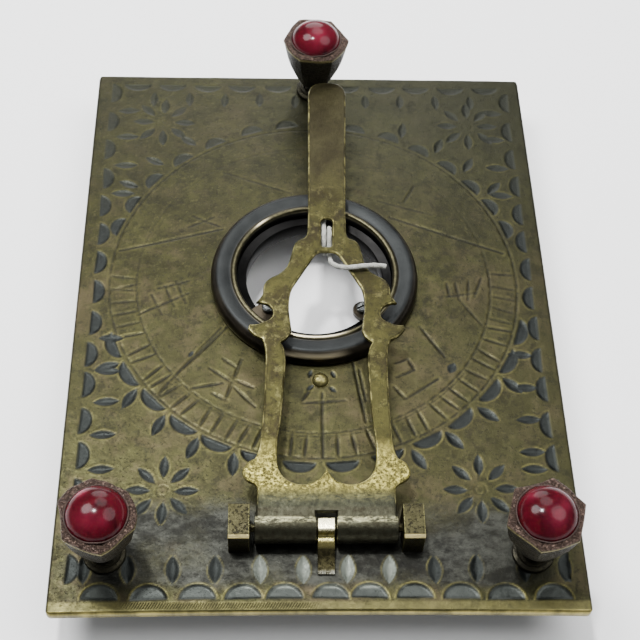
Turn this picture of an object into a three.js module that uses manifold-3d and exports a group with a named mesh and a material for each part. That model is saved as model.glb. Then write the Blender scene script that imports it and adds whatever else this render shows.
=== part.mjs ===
// Pocket sundial: an engraved brass plate on three jewelled levelling screws, with a
// compass ring and a string gnomon that folds flat on a pinned hinge.
// Millimetres, +Z up, +Y from the noon edge (hinge) to the far edge. Heights are counted
// from the top face of the plate; the last group stands the whole dial on its foot tips.
import * as THREE from 'three';
import { mergeVertices } from 'three/addons/utils/BufferGeometryUtils.js';
import Module from 'manifold-3d';

const wasm = await Module();
wasm.setup();

// ---- driving dimensions ----------------------------------------------------------

const PLATE = { width: 75, length: 102, thickness: 1.6, corner: 0.8 };
const DIAL_Y = 5.7; // centre of the dial circle and the compass ring
const RING = { outer: 16.4, height: 2.8, lip: 12.9, well: 12.4, ledge: 0.7, spigot: 11.4, hole: 10.9 };
const EAR = { angle: 42.6, width: 3.2, reach: 8.6, thickness: 0.8, screw: 10.05 };
const EAR_SCREW = { head: 0.95, height: 0.75, shank: 0.5, slot: 0.34, depth: 0.38 };
const STUD = { x: 0.6, y: -13.4, radius: 1.3, height: 0.9, pin: 0.6 };

const PIN = { x: 0.8, y: -39.4, z: 2.6, radius: 0.6 };
const LUG = { inner: 10.7, width: 2.95, front: 2.5, back: 2.65, height: 5.0, tenon: 1.5 };
const STRAP = { width: 2.4, top: 4.05, ledge: 2.25, tail: 6.0 };

const LEAF = { thickness: 0.9, under: 1.25, barrel: 2.2, halfBarrel: 10.0, tip: 82.0 };
const NOTCH = { halfWidth: 1.45, depth: 1.3, sweep: 1.95 };
const FOLD_TILT = THREE.MathUtils.degToRad(1.9); // the folded frame rises a little to its tip
const LEAN = 0.0215; // sideways lean of the frame, mm per mm
const SLOT = { start: 47.15, end: 52.8, halfWidth: 0.95 };
const STRING = { diameter: 0.8, sides: 8, steps: 48 };

const SCREW = { rim: 5.7, top: 12.2, neck: 2.8, shank: 1.6, tip: 1.0, below: 7.0 };
const SOCKET = { radius: 4.3, depth: 1.8 };
const GEM = { radius: 4.15, girdle: 11.9, apex: 14.8 };
const BUSH = { collar: 3.0, step: 2.4, height: 1.15, spigot: 2.3, bore: 1.75 };
const FEET = [
  { name: 'left', x: -30.0, y: -42.2, turn: 40 },
  { name: 'right', x: 30.0, y: -42.2, turn: 15.6 },
  { name: 'back', x: 0.6, y: 47.9, turn: 0 },
];

const GAP = 0.1; // assembly gap between fixed neighbours
const FIT = 0.15; // radial clearance round a spigot or tenon

// ---- materials -------------------------------------------------------------------

const metal = (color, roughness) => new THREE.MeshStandardMaterial({ color, roughness, metalness: 1 });
const OLIVE_BRASS = metal(0x7d7350, 0.45);
const BRIGHT_BRASS = metal(0x9c8a4c, 0.4);
const DARK_BRONZE = metal(0x2b2a2c, 0.35);
const CUP_BRASS = metal(0x5e5238, 0.5);
const STEEL = metal(0x85898e, 0.35);
const RUBY = new THREE.MeshStandardMaterial({ color: 0xb01230, roughness: 0.05, metalness: 0 });
const CEMENT = new THREE.MeshStandardMaterial({ color: 0x7a4038, roughness: 0.7, metalness: 0 });
const COTTON = new THREE.MeshStandardMaterial({ color: 0xc7ccc4, roughness: 0.9, metalness: 0 });

// ---- helpers ---------------------------------------------------------------------

function toSolid(geometry) {
  const bare = geometry.clone();
  bare.deleteAttribute('normal');
  bare.deleteAttribute('uv');
  const merged = mergeVertices(bare, 1e-4);
  const vertProperties = new Float32Array(merged.attributes.position.array);
  const triVerts = new Uint32Array(merged.index.array);
  return new wasm.Manifold(new wasm.Mesh({ numProp: 3, vertProperties, triVerts }));
}

function toGeometry(solid) {
  const { vertProperties, triVerts } = solid.getMesh();
  const geometry = new THREE.BufferGeometry();
  geometry.setAttribute('position', new THREE.BufferAttribute(vertProperties, 3));
  geometry.setIndex(new THREE.BufferAttribute(triVerts, 1));
  return geometry;
}

function extrude(shape, depth, curveSegments = 8) {
  return new THREE.ExtrudeGeometry(shape, { depth, bevelEnabled: false, curveSegments });
}

// A side profile drawn as (y, z) and extruded along X, centred on x = 0.
function extrudeAlongX(profile, width, curveSegments = 10) {
  const geometry = extrude(profile, width, curveSegments);
  geometry.translate(0, 0, -width / 2);
  geometry.rotateZ(Math.PI / 2);
  geometry.rotateY(Math.PI / 2);
  return geometry;
}

// A round body turned about Z from a profile of [radius, height] points.
function turned(profile, segments = 48) {
  const geometry = new THREE.LatheGeometry(profile.map(([r, z]) => new THREE.Vector2(r, z)), segments);
  geometry.rotateX(Math.PI / 2);
  return geometry;
}

function circleHole(x, y, radius) {
  return new THREE.Path().absarc(x, y, radius, 0, 2 * Math.PI, true);
}

// An open half outline (x >= 0) made whole by its mirror image.
function mirrored(half) {
  const right = half.getPoints(5);
  const left = right.filter((p) => p.x > 1e-6).map((p) => new THREE.Vector2(-p.x, p.y));
  return [...right, ...left.reverse()];
}

function named(name, geometry, material, x = 0, y = 0, z = 0) {
  const mesh = new THREE.Mesh(geometry, material);
  mesh.name = name;
  mesh.position.set(x, y, z);
  return mesh;
}

// ---- base plate ------------------------------------------------------------------

function plateOutline() {
  const { width, length, corner } = PLATE;
  const [x, y] = [width / 2 - corner, length / 2 - corner];
  const outline = new THREE.Shape();
  outline.absarc(x, -y, corner, -Math.PI / 2, 0, false);
  outline.absarc(x, y, corner, 0, Math.PI / 2, false);
  outline.absarc(-x, y, corner, Math.PI / 2, Math.PI, false);
  outline.absarc(-x, -y, corner, Math.PI, 1.5 * Math.PI, false);
  return outline;
}

function basePlate() {
  const outline = plateOutline();
  outline.holes.push(circleHole(0, DIAL_Y, RING.spigot + FIT));
  outline.holes.push(circleHole(STUD.x, STUD.y, STUD.pin + FIT));
  for (const foot of FEET) outline.holes.push(circleHole(foot.x, foot.y, BUSH.spigot + FIT));
  const sheet = extrude(outline, PLATE.thickness, 16);
  sheet.translate(0, 0, -PLATE.thickness);
  let plate = toSolid(sheet);
  for (const side of [-1, 1]) {
    const socket = new THREE.BoxGeometry(LUG.width + 2 * FIT, 2 * (LUG.tenon + FIT), 3 * PLATE.thickness);
    socket.translate(PIN.x + side * (LUG.inner + LUG.width / 2), PIN.y, 0);
    plate = plate.subtract(toSolid(socket));
  }
  return named('base_plate', toGeometry(plate), OLIVE_BRASS);
}

// ---- compass ring, its ears and their screws -------------------------------------

function compassRing() {
  const { outer, height, lip, well, ledge, spigot, hole } = RING;
  const foot = -PLATE.thickness - 0.3;
  const profile = [
    [spigot, GAP], [outer, GAP], [outer + 0.1, 0.7], [outer - 0.15, 1.9],
    [outer - 0.6, height - 0.15], [outer - 1.1, height], [lip + 0.6, height - 0.35],
    [lip + 0.15, height - 0.1], [lip - 0.25, height - 0.15], [well, height - 0.5],
    [well, ledge], [hole, ledge], [hole, foot], [spigot, foot], [spigot, GAP],
  ];
  return named('compass_ring', turned(profile, 48), DARK_BRONZE, 0, DIAL_Y);
}

function ringEar(side) {
  const { width, reach, thickness, screw } = EAR;
  const outline = new THREE.Shape();
  outline.moveTo(RING.well - 0.3, -width / 2);
  outline.lineTo(RING.well - 0.3, width / 2);
  outline.absarc(reach + width / 2, 0, width / 2, Math.PI / 2, 1.5 * Math.PI, false);
  outline.holes.push(circleHole(screw, 0, EAR_SCREW.shank + GAP));
  const ear = named(`ring_ear_${side.name}`, extrude(outline, thickness), DARK_BRONZE, 0, DIAL_Y, RING.ledge + GAP);
  ear.rotation.z = side.angle;
  return ear;
}

function earScrew(side) {
  const { head, height, shank, slot, depth } = EAR_SCREW;
  const profile = [[0, -1.6], [shank, -1.6], [shank, 0], [head, 0], [head, height - 0.2],
    [head - 0.25, height], [0, height]];
  const cutter = new THREE.BoxGeometry(3 * head, slot, 2 * depth);
  cutter.translate(0, 0, height);
  const slotted = toGeometry(toSolid(turned(profile, 24)).subtract(toSolid(cutter)));
  const x = EAR.screw * Math.cos(side.angle);
  const y = DIAL_Y + EAR.screw * Math.sin(side.angle);
  const z = RING.ledge + GAP + EAR.thickness + GAP;
  const screw = named(`ring_ear_screw_${side.name}`, slotted, STEEL, x, y, z);
  screw.rotation.z = side.slotTurn;
  return screw;
}

function noonStud() {
  const { x, y, radius, height, pin } = STUD;
  const profile = [[0, -PLATE.thickness - 0.2], [pin, -PLATE.thickness - 0.2], [pin, GAP],
    [radius, GAP], [radius, height * 0.45], [radius * 0.72, height * 0.85], [0, height]];
  return named('noon_stud', turned(profile, 24), BRIGHT_BRASS, x, y);
}

// ---- hinge: two lugs, a centre strap and the pin ----------------------------------

function hingeLug(side, sign) {
  const { front, back, height, tenon, width, inner } = LUG;
  const edge = 0.6;
  const profile = new THREE.Shape();
  profile.moveTo(back, GAP);
  profile.lineTo(back, height - 0.15);
  profile.lineTo(back - 0.15, height);
  profile.absarc(-front + edge, height - edge, edge, Math.PI / 2, Math.PI, false);
  profile.lineTo(-front, GAP);
  profile.holes.push(circleHole(0, PIN.z, PIN.radius + GAP / 2));
  const drop = PLATE.thickness + 0.5;
  const rivet = new THREE.BoxGeometry(width - 0.2, 2 * tenon, drop);
  rivet.translate(0, 0, 0.3 - drop / 2);
  const lug = toSolid(extrudeAlongX(profile, width)).add(toSolid(rivet));
  const x = PIN.x + sign * (inner + width / 2);
  return named(`hinge_lug_${side}`, toGeometry(lug), OLIVE_BRASS, x, PIN.y);
}

function hingeStrap() {
  const { width, top, ledge, tail } = STRAP;
  const profile = new THREE.Shape();
  profile.moveTo(0.95, GAP);
  profile.lineTo(0.95, top - 0.25);
  profile.lineTo(0.75, top);
  profile.lineTo(-1.0, top);
  profile.lineTo(-1.1, ledge + 0.05);
  profile.lineTo(-1.6, ledge);
  profile.quadraticCurveTo(-2.0, ledge, -2.3, ledge - 0.35);
  profile.quadraticCurveTo(-3.6, 0.9, -tail, 0.35);
  profile.lineTo(-tail, GAP);
  profile.holes.push(circleHole(0, PIN.z, PIN.radius + GAP / 2));
  return named('hinge_centre_strap', extrudeAlongX(profile, width), BRIGHT_BRASS, PIN.x, PIN.y);
}

function hingePin() {
  const length = 2 * (LUG.inner + LUG.width);
  const geometry = new THREE.CylinderGeometry(PIN.radius, PIN.radius, length, 24);
  geometry.rotateZ(Math.PI / 2);
  return named('hinge_pin', geometry, OLIVE_BRASS, PIN.x, PIN.y, PIN.z);
}

// ---- gnomon: lyre-shaped frame rolled into two knuckles, with a long finger -------
// Drawn flat as (x, v): v is the distance from the pin towards the finger tip.

function gnomonOutline() {
  const half = new THREE.Path();
  half.moveTo(0, 0);
  half.lineTo(9.85, 0);
  half.lineTo(9.75, 5.0);
  half.quadraticCurveTo(9.9, 5.8, 10.9, 6.1); // bulb
  half.quadraticCurveTo(12.1, 6.8, 11.9, 8.0);
  half.quadraticCurveTo(11.5, 9.4, 10.3, 9.8);
  half.quadraticCurveTo(9.8, 10.6, 9.6, 12.0); // leg
  half.quadraticCurveTo(9.2, 17.0, 9.15, 22.0);
  half.lineTo(9.1, 26.5);
  half.quadraticCurveTo(9.2, 28.8, 9.7, 30.0);
  half.quadraticCurveTo(11.2, 30.5, 11.9, 31.9); // hook
  half.lineTo(11.7, 32.6);
  half.quadraticCurveTo(10.4, 32.5, 9.6, 33.1);
  half.quadraticCurveTo(8.1, 33.6, 8.2, 34.9); // round bite
  half.quadraticCurveTo(8.4, 36.4, 10.8, 36.6);
  half.quadraticCurveTo(10.1, 37.6, 9.85, 38.2);
  half.lineTo(9.8, 39.3);
  half.quadraticCurveTo(9.6, 40.8, 8.2, 41.5); // shoulder
  half.quadraticCurveTo(6.3, 42.5, 5.9, 44.2);
  half.quadraticCurveTo(5.6, 45.5, 5.35, 46.6);
  half.quadraticCurveTo(5.1, 48.4, 3.9, 48.7);
  half.quadraticCurveTo(3.1, 48.9, 3.05, 50.5);
  half.lineTo(3.0, 54.0); // finger
  half.lineTo(3.2, LEAF.tip - 3.2);
  half.absarc(0, LEAF.tip - 3.2, 3.2, 0, Math.PI / 2, false);
  return mirrored(half);
}

function gnomonOpening() {
  const half = new THREE.Path();
  half.moveTo(0, 8.3);
  half.quadraticCurveTo(0.9, 5.9, 3.3, 5.75);
  half.quadraticCurveTo(6.4, 5.9, 7.0, 8.9);
  half.quadraticCurveTo(7.3, 11.5, 6.8, 14.5);
  half.quadraticCurveTo(6.3, 20.0, 6.1, 26.0);
  half.quadraticCurveTo(6.2, 28.6, 6.9, 29.4);
  half.quadraticCurveTo(5.6, 30.2, 5.3, 31.6);
  half.quadraticCurveTo(5.5, 33.0, 5.75, 35.0);
  half.quadraticCurveTo(5.9, 38.2, 5.2, 39.6);
  half.lineTo(2.2, 45.0);
  half.quadraticCurveTo(1.6, 46.1, 0.8, 46.15);
  half.lineTo(0, 46.15);
  return mirrored(half);
}

function stringSlot() {
  const { start, end, halfWidth } = SLOT;
  const slot = new THREE.Path();
  slot.absarc(0, end - halfWidth, halfWidth, 0, Math.PI, false);
  slot.lineTo(-halfWidth + 0.1, start);
  slot.lineTo(halfWidth - 0.1, start);
  slot.closePath();
  return slot;
}

function leanOver(geometry) {
  const position = geometry.attributes.position;
  for (let i = 0; i < position.count; i += 1) {
    position.setX(i, position.getX(i) + LEAN * Math.max(0, position.getY(i)));
  }
  return geometry;
}

function gnomonFrame() {
  const leaf = new THREE.Shape(gnomonOutline());
  leaf.holes.push(new THREE.Path(gnomonOpening()), stringSlot());
  const sheet = leanOver(extrude(leaf, LEAF.thickness, 8));
  sheet.translate(0, 0, LEAF.under);

  const barrel = new THREE.CylinderGeometry(LEAF.barrel, LEAF.barrel, 2 * LEAF.halfBarrel, 32);
  barrel.rotateZ(Math.PI / 2);
  const bore = new THREE.CylinderGeometry(PIN.radius + GAP, PIN.radius + GAP, 30, 24);
  bore.rotateZ(Math.PI / 2);
  const notch = new THREE.BoxGeometry(2 * NOTCH.halfWidth, 2 * LEAF.barrel + NOTCH.depth, 6);
  notch.translate(0, NOTCH.depth / 2 - LEAF.barrel, 0);
  // The barrel stops either side of the strap, and the sheet's edge clears it all the way up.
  const between = new THREE.BoxGeometry(2 * NOTCH.halfWidth, 3 * LEAF.barrel, 2 * LEAF.barrel);
  between.translate(0, 0, LEAF.under - LEAF.barrel);
  const sweep = new THREE.CylinderGeometry(NOTCH.sweep, NOTCH.sweep, 2 * NOTCH.halfWidth, 32);
  sweep.rotateZ(Math.PI / 2);
  const solid = [bore, notch, between, sweep].reduce(
    (body, cut) => body.subtract(toSolid(cut)),
    toSolid(sheet).add(toSolid(barrel)),
  );

  return named('gnomon_frame', toGeometry(solid), BRIGHT_BRASS);
}

// The stub of the shadow string, tied round the bridge below the slot: two strands lie in
// the slot and the cut end crosses the right arm. Points are (x, v, height over the pin).
const STRING_ROUTE = [
  [-0.45, 54.4, 0.5], [-0.45, 53.0, 0.45], [-0.44, 51.9, 0.85], [-0.43, 50.9, 1.5],
  [-0.43, 49.8, 1.7], [-0.43, 48.9, 1.35], [-0.42, 48.1, 0.5], [-0.3, 47.9, -0.6],
  [-0.1, 48.7, -1.7], [0.1, 50.2, -2.2], [0.3, 51.6, -1.4], [0.42, 52.05, -0.1],
  [0.43, 51.5, 1.05], [0.43, 50.5, 1.65], [0.43, 49.4, 1.55], [0.44, 48.3, 0.95],
  [0.46, 47.3, 0.5], [0.52, 46.2, 0.42], [0.7, 45.1, 0.85], [1.2, 43.9, 1.7],
  [2.1, 43.0, 2.45], [3.4, 42.6, 2.85], [4.8, 42.75, 2.92], [6.5, 43.0, 2.85],
  [8.0, 43.1, 2.75], [9.2, 43.0, 2.6],
];

function gnomonString() {
  const { diameter, sides, steps } = STRING;
  const route = STRING_ROUTE.map(([x, v, z]) => new THREE.Vector3(x + LEAN * v, v, z));
  const section = new THREE.Shape();
  for (let i = 0; i < sides; i += 1) {
    const a = (2 * Math.PI * i) / sides;
    const corner = [(diameter / 2) * Math.cos(a), (diameter / 2) * Math.sin(a)];
    if (i === 0) section.moveTo(...corner);
    else section.lineTo(...corner);
  }
  section.closePath();
  const extrudePath = new THREE.CatmullRomCurve3(route);
  const geometry = new THREE.ExtrudeGeometry(section, { steps, extrudePath, bevelEnabled: false });
  return named('gnomon_string', geometry, COTTON);
}

// ---- feet: levelling screws with a hexagonal gem cup -------------------------------

// Draws the turned cup in to six flats, fully at the rim and not at all at the neck.
function hexagonal(geometry) {
  const position = geometry.attributes.position;
  for (let i = 0; i < position.count; i += 1) {
    const [x, y, z] = [position.getX(i), position.getY(i), position.getZ(i)];
    const radius = Math.hypot(x, y);
    const share = THREE.MathUtils.clamp((z - SCREW.neck - 1) / 5, 0, 1);
    if (radius < SOCKET.radius * 0.6 || share === 0) continue;
    const fromFlat = ((Math.atan2(y, x) + 2 * Math.PI) % (Math.PI / 3)) - Math.PI / 6;
    const flat = Math.cos(Math.PI / 6) / Math.cos(fromFlat);
    const scale = 1 + share * (flat - 1);
    position.setXYZ(i, x * scale, y * scale, z);
  }
  return geometry;
}

function footScrew(foot) {
  const { rim, top, neck, shank, tip, below } = SCREW;
  const bottom = -PLATE.thickness - below;
  const profile = [
    [0, bottom], [tip, bottom], [shank - 0.2, bottom + 0.5], [shank, bottom + 1.2], [shank, neck],
    [2.3, neck], [2.6, neck + 0.3], [3.25, neck + 1.5], [4.0, neck + 3.1], [4.75, neck + 4.9],
    [5.35, neck + 7.1], [rim, top - 0.6], [rim - 0.15, top], [0, top],
  ];
  const socket = new THREE.CylinderGeometry(SOCKET.radius, SOCKET.radius, 2 * SOCKET.depth, 24);
  socket.rotateX(Math.PI / 2);
  socket.translate(0, 0, top);
  const cup = toSolid(hexagonal(turned(profile, 24))).subtract(toSolid(socket));
  const screw = named(`${foot.name}_foot_screw`, toGeometry(cup), CUP_BRASS, foot.x, foot.y);
  screw.rotation.z = THREE.MathUtils.degToRad(foot.turn);
  return screw;
}

function footCement(foot) {
  const floor = SCREW.top - SOCKET.depth + GAP;
  const profile = [[0, floor], [SOCKET.radius - 0.2, floor], [SOCKET.radius - 0.2, floor + 0.4], [0, floor + 0.4]];
  return named(`${foot.name}_foot_cement`, turned(profile, 24), CEMENT, foot.x, foot.y);
}

function footGem(foot) {
  const { radius, girdle, apex } = GEM;
  const seat = SCREW.top - SOCKET.depth + 0.7;
  const profile = [[0, seat], [radius - 0.25, seat]];
  for (let step = 0; step <= 8; step += 1) {
    const a = (step / 8) * (Math.PI / 2);
    profile.push([radius * Math.cos(a), girdle + (apex - girdle) * Math.sin(a)]);
  }
  profile[profile.length - 1][0] = 0;
  return named(`${foot.name}_foot_gem`, turned(profile, 24), RUBY, foot.x, foot.y);
}

function footBush(foot) {
  const { collar, step, height, spigot, bore } = BUSH;
  const under = -PLATE.thickness;
  const profile = [
    [bore, under - 0.5], [spigot - 0.15, under - 0.5], [spigot, under - 0.35], [spigot, GAP],
    [collar, GAP], [collar, 0.65], [step, 0.8], [step, height], [bore, height], [bore, under - 0.5],
  ];
  return named(`${foot.name}_foot_bush`, turned(profile, 24), CUP_BRASS, foot.x, foot.y);
}

// ---- assembly ----------------------------------------------------------------------

const EAR_SIDES = [
  { name: 'left', angle: Math.PI + THREE.MathUtils.degToRad(EAR.angle), slotTurn: 2.2 },
  { name: 'right', angle: -THREE.MathUtils.degToRad(EAR.angle), slotTurn: 0.5 },
];

const gnomon = new THREE.Group();
gnomon.position.set(PIN.x, PIN.y, PIN.z);
gnomon.rotation.x = FOLD_TILT;
gnomon.add(gnomonFrame(), gnomonString());

const dial = new THREE.Group();
dial.add(basePlate(), compassRing(), noonStud(), gnomon);
dial.add(hingeLug('left', -1), hingeLug('right', 1), hingeStrap(), hingePin());
for (const side of EAR_SIDES) dial.add(ringEar(side), earScrew(side));
for (const foot of FEET) dial.add(footScrew(foot), footCement(foot), footGem(foot), footBush(foot));

// The origin is below the middle of the bounding box: the back foot's rim overhangs the plate.
const rimReach = FEET[2].y + SCREW.rim * Math.cos(Math.PI / 6);
dial.position.set(0, -(rimReach - PLATE.length / 2) / 2, PLATE.thickness + SCREW.below);

const pocketSundial = new THREE.Group();
pocketSundial.name = 'pocket_sundial';
pocketSundial.add(dial);

export default pocketSundial;
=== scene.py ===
"""A brass pocket sundial: an engraved plate, a compass ring, a folding string gnomon
and three jewelled levelling screws. Shapes are drawn in plate millimetres: x across,
y towards the back foot, z up from the plate's top, and put in the row frame in metres."""

import math
import random

import bmesh
import bpy
import numpy as np
from mathutils import Matrix, Vector


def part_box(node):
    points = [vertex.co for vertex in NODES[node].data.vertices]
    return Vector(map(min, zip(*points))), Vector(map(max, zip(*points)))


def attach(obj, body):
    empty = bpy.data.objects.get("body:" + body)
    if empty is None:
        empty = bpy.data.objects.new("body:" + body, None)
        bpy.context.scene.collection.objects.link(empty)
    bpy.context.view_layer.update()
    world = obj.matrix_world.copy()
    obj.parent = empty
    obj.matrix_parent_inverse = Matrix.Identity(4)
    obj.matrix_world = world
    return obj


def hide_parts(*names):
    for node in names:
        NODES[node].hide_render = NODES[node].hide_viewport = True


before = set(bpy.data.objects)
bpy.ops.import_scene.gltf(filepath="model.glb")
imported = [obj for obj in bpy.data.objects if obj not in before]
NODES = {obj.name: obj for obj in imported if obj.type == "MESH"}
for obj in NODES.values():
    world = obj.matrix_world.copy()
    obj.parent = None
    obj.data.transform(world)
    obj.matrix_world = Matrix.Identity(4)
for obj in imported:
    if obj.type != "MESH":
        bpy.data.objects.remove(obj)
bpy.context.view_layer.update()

MM = .001
PLATE_LOW, PLATE_HIGH = (np.array(c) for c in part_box("base_plate"))
ORIGIN = np.array([*(PLATE_LOW + PLATE_HIGH)[:2] / 2, PLATE_HIGH[2]])
HALF_WIDTH, HALF_LENGTH, THICKNESS = 37.5, 51.0, 1.6
CORNER = .8
DIAL_Y = 5.7
PIN_X, PIN_Y, PIN_Z, PIN_RADIUS = .8, -39.4, 2.6, .6
FOLD_TILT, LEAN = math.radians(1.9), .0215
# Each foot's place and how far its cup is turned, in degrees.
FEET = {"left": (-30.0, -42.2, 40.0), "right": (30.0, -42.2, 15.6), "back": (.6, 47.9, 0.0)}


def placed(points):
    """Plate millimetres to row-frame metres."""
    return np.asarray(points, float) * MM + ORIGIN


def linked(name, data):
    obj = bpy.data.objects.new(name, data)
    bpy.context.scene.collection.objects.link(obj)
    return obj


# ---- camera

def add_camera():
    """Looks from azimuth and elevation, rolled, at a target in plate millimetres."""
    azimuth, elevation, roll, distance = -.0724, .95695, .06415, 213.03
    target = np.array([.78, -2.0925, 0.0])
    level = math.cos(elevation)
    back = Vector((math.sin(azimuth) * level, -math.cos(azimuth) * level, math.sin(elevation)))
    right = (-back).cross(Vector((0, 0, 1))).normalized()
    up = right.cross(-back).normalized()
    side = right * math.cos(roll) + up * math.sin(roll)
    top = -right * math.sin(roll) + up * math.cos(roll)
    place = placed(target + np.array(back) * distance)
    data = bpy.data.cameras.new("camera")
    data.lens, data.sensor_width, data.clip_start = 76.28, 36.0, .01
    camera = linked("camera", data)
    camera.matrix_world = Matrix.Translation(place) @ Matrix((side, top, back)).transposed().to_4x4()
    bpy.context.scene.camera = camera


# ---- meshes

def piece(name, points, faces, material, body, node, sharp=35.0, marks=None, bevel=0.0):
    """A piece that replaces a CAD node, shaded smooth except where faces meet sharply."""
    mesh = bpy.data.meshes.new(name)
    mesh.from_pydata(placed(points).tolist(), [], [list(f) for f in faces])
    add_marks(mesh, marks or {})
    mesh.materials.append(material)
    mesh.validate()
    tidy = bmesh.new()
    tidy.from_mesh(mesh)
    bmesh.ops.recalc_face_normals(tidy, faces=tidy.faces)
    tidy.to_mesh(mesh)
    tidy.free()
    mesh.shade_smooth()
    mesh.set_sharp_from_angle(angle=math.radians(sharp))
    obj = linked(name, mesh)
    if bevel:
        soften(obj, bevel)
    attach(obj, body)
    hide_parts(node)
    return obj


def add_marks(mesh, marks):
    """Stores a number for every point, for the finish to read by name."""
    for key, values in marks.items():
        mesh.attributes.new(key, "FLOAT", "POINT").data.foreach_set("value", np.asarray(values, np.float32))


def soften(obj, width_mm):
    """Rounds an object's sharp edges."""
    modifier = obj.modifiers.new("soft_edges", "BEVEL")
    modifier.width, modifier.segments = width_mm * MM, 2
    modifier.limit_method, modifier.angle_limit = "ANGLE", math.radians(32)
    modifier.use_clamp_overlap, modifier.harden_normals = True, True


def skinned(rings):
    """Faces from each ring of points to the next. Where points repeat, the face has fewer sides."""
    faces = []
    for low, high in zip(rings, rings[1:]):
        for k in range(len(low)):
            n = (k + 1) % len(low)
            face = list(dict.fromkeys([low[k], low[n], high[n], high[k]]))
            if len(face) > 2:
                faces.append(face)
    return faces


def turned(profile, segments, shape=None):
    """A profile of (radius, z) turned about Z, bent by shape(points) if given. A radius of 0 closes it."""
    points, rings = [], []
    for radius, z in profile:
        if radius < 1e-6:
            rings.append([len(points)] * segments)
            points.append((0.0, 0.0, z))
            continue
        rings.append(list(range(len(points), len(points) + segments)))
        for k in range(segments):
            a = 2 * math.pi * k / segments
            points.append((radius * math.cos(a), radius * math.sin(a), z))
    if profile[0][0] > 1e-6:
        rings.append(rings[0])
    points = np.array(points)
    return (shape(points) if shape else points), skinned(rings)


def slab_x(profile, width):
    """A closed (y, z) outline drawn out along X."""
    count = len(profile)
    points = [(side * width / 2, y, z) for side in (-1, 1) for y, z in profile]
    faces = [list(range(count))[::-1], list(range(count, 2 * count))]
    faces += [[k, (k + 1) % count, count + (k + 1) % count, count + k] for k in range(count)]
    return np.array(points), faces


def joined(*parts):
    """Several (points, faces) as one."""
    points, faces, base = [], [], 0
    for some, quads in parts:
        points.append(np.asarray(some, float))
        faces += [[base + k for k in face] for face in quads]
        base += len(some)
    return np.vstack(points), faces


def smooth_line(points, steps=6):
    """Catmull-Rom points through a list of points."""
    p = np.array([points[0], *points, points[-1]], float)
    p[0], p[-1] = 2 * p[1] - p[2], 2 * p[-2] - p[-3]
    out = []
    for k in range(1, len(p) - 2):
        a, b, c, d = p[k - 1:k + 3]
        for t in np.arange(steps) / steps:
            square, cube = 2 * a - 5 * b + 4 * c - d, 3 * b - a - 3 * c + d
            out.append(.5 * (2 * b + (c - a) * t + square * t * t + cube * t ** 3))
    return np.array([*out, p[-2]])


# ---- materials

class Finish:
    """A procedural material, laid on as coats of colour. Noise scales are features per metre."""

    def __init__(self, name):
        self.material = bpy.data.materials.new(name)
        self.material.use_nodes = True
        self.material.node_tree.nodes.clear()

    def put(self, kind, inputs, output=0, **settings):
        """Adds a node and gives back one of its outputs."""
        node = self.material.node_tree.nodes.new("ShaderNode" + kind)
        for key, value in settings.items():
            setattr(node, key, value)
        for key, value in inputs.items():
            if isinstance(value, bpy.types.NodeSocket):
                self.material.node_tree.links.new(value, node.inputs[key])
            else:
                node.inputs[key].default_value = value
        if node.outputs:
            return node.outputs[output]

    def maths(self, operation, first, second):
        return self.put("Math", {0: first, 1: second}, operation=operation)

    def add(self, first, second):
        return self.maths("ADD", first, second)

    def take(self, first, second):
        return self.maths("SUBTRACT", first, second)

    def times(self, first, *others):
        for other in others:
            first = self.maths("MULTIPLY", first, other)
        return first

    def ramp(self, value, low, high, to_low=0.0, to_high=1.0, kind="LINEAR"):
        limits = {0: value, 1: low, 2: high, 3: to_low, 4: to_high}
        return self.put("MapRange", limits, interpolation_type=kind)

    def place(self):
        return self.put("TexCoord", {}, "Object")

    def noise(self, scale, detail, roughness, *limits, stretch=(1, 1, 1), distortion=0.0):
        """Noise by place, ramped between limits if they are given."""
        value = self.put("TexNoise", {
            "Vector": self.put("Mapping", {"Vector": self.place(), "Scale": stretch}),
            "Scale": scale, "Detail": detail, "Roughness": roughness, "Distortion": distortion,
        })
        return self.ramp(value, *limits) if limits else value

    def mark(self, name):
        return self.put("Attribute", {}, "Fac", attribute_name=name)

    def along(self, axis, low, high, to_low=0.0, to_high=1.0):
        """A smooth step along a plate axis between two plate millimetres."""
        value = self.put("SeparateXYZ", {"Vector": self.place()}, axis)
        low, high = (v * MM + ORIGIN["XYZ".index(axis)] for v in (low, high))
        return self.ramp(value, low, high, to_low, to_high, "SMOOTHSTEP")

    def worn_edges(self, radius_mm=.25):
        """How far a rounded normal turns from the face's own: 0 on faces, 1 on edges."""
        rounded = self.put("Bevel", {"Radius": radius_mm * MM}, samples=6)
        plain = self.put("NewGeometry", {}, "Normal")
        turn = self.put("VectorMath", {0: rounded, 1: plain}, "Value", operation="DOT_PRODUCT")
        return self.ramp(turn, .985, .86)

    def mix(self, amount, first, second):
        """A colour between two, each a socket or (r, g, b)."""
        first, second = (c if isinstance(c, bpy.types.NodeSocket) else (*c, 1.0) for c in (first, second))
        return self.put("Mix", {0: amount, 6: first, 7: second}, 2, data_type="RGBA")

    def base(self, amount, first, second):
        self.colour = self.mix(amount, first, second)

    def coat(self, colour, *amounts):
        """Lays a colour over the ones before it, as thick as the product of the amounts."""
        self.colour = self.mix(self.times(*amounts), self.colour, colour)

    def done(self, roughness, height, strength=.35, distance=.0002, metallic=.9, **extra):
        """Joins the colour, a roughness and a bump height to the shader and the output."""
        bump = self.put("Bump", {"Height": height, "Strength": strength, "Distance": distance})
        shader = self.put("BsdfPrincipled", {
            "Base Color": self.colour, "Roughness": roughness, "Metallic": metallic, "Normal": bump, **extra,
        })
        self.put("OutputMaterial", {"Surface": shader})
        return self.material


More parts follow.
